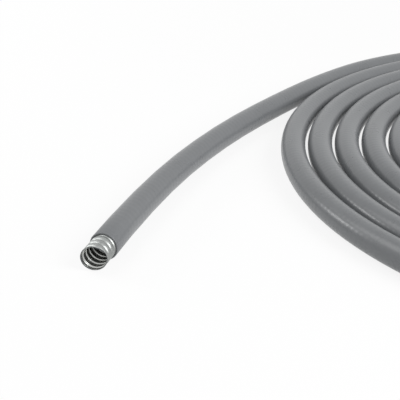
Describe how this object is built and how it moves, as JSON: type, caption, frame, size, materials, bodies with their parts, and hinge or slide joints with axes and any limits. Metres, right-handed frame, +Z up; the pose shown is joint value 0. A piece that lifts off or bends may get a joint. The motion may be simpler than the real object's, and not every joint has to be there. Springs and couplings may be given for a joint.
{
  "type": "flexible metal conduit",
  "caption": "Coiled length of liquid-tight flexible metal conduit: grey plastic jacket over a spiral-wound steel core, bare at the free end.",
  "frame": {"origin": "on the floor in the middle of the coil's eye", "axes": "+Z up, square to the flat coil; the free end leaves the coil at -X and its mouth opens towards -Y"},
  "size_m": [0.7422, 0.5994, 0.0211],
  "materials": {
    "jacket_plastic": "smooth grey flexible plastic with a low sheen",
    "galvanised_steel": "bright galvanised strip"
  },
  "bodies": {
    "root": {"jacket_coil": "jacket_plastic", "jacket_lead": "jacket_plastic", "steel_core": "galvanised_steel"}
  },
  "joints": []
}
